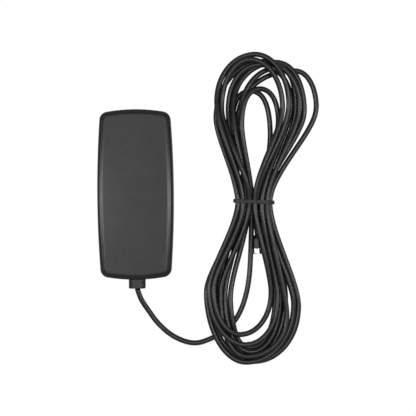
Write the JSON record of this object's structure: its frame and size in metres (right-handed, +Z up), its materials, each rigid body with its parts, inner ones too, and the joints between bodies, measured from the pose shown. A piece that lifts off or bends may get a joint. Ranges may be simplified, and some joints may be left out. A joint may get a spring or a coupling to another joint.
{
  "type": "low-profile signal booster interior antenna",
  "caption": "Flat black interior antenna of a vehicle signal-booster kit, with a thin coaxial lead tied in a hank and a small push-on RF plug.",
  "frame": {"origin": "on the surface the part lies on, under the middle of the housing", "axes": "+Z up out of the housing's roof, +Y along the housing away from its lead, +X towards the hank"},
  "size_m": [0.1172, 0.1646, 0.012],
  "materials": {
    "textured_abs": "matte",
    "abs_base": "matte",
    "pvc_boot": "satin",
    "acrylic_foam": "matte",
    "release_film": "satin",
    "solder_mask_board": "satin",
    "copper": "satin",
    "solder": "satin",
    "cable_jacket": "satin",
    "tinned_braid": "satin",
    "polyethylene": "satin",
    "copper_wire": "satin",
    "tie_plastic": "satin",
    "steel_wire": "satin",
    "nickel_plate": "polished",
    "gold_plate": "polished",
    "ptfe": "satin",
    "shrink_sleeve": "satin"
  },
  "bodies": {
    "root": {"top_cover": "textured_abs", "base_cover": "abs_base", "mounting_tape": "acrylic_foam", "release_liner": "release_film", "antenna_board": "solder_mask_board", "radiator_copper": "copper", "ground_copper": "copper", "feed_solder": "solder", "ground_solder": "solder", "strain_relief": "pvc_boot", "cable_lead": "cable_jacket", "cable_hank": "cable_jacket", "cable_plug_end": "cable_jacket", "twist_tie": "tie_plastic", "tie_wire": "steel_wire", "cable_jacket_end": "cable_jacket", "cable_braid_end": "tinned_braid", "cable_dielectric_end": "polyethylene", "cable_core_end": "copper_wire", "plug_boot": "shrink_sleeve", "crimp_ferrule": "nickel_plate", "plug_shell": "nickel_plate", "plug_spring": "gold_plate", "plug_insulator": "ptfe", "plug_contact": "gold_plate", "plug_jacket_end": "cable_jacket", "plug_braid_end": "tinned_braid", "plug_dielectric_end": "polyethylene", "plug_core_end": "copper_wire"}
  },
  "joints": []
}
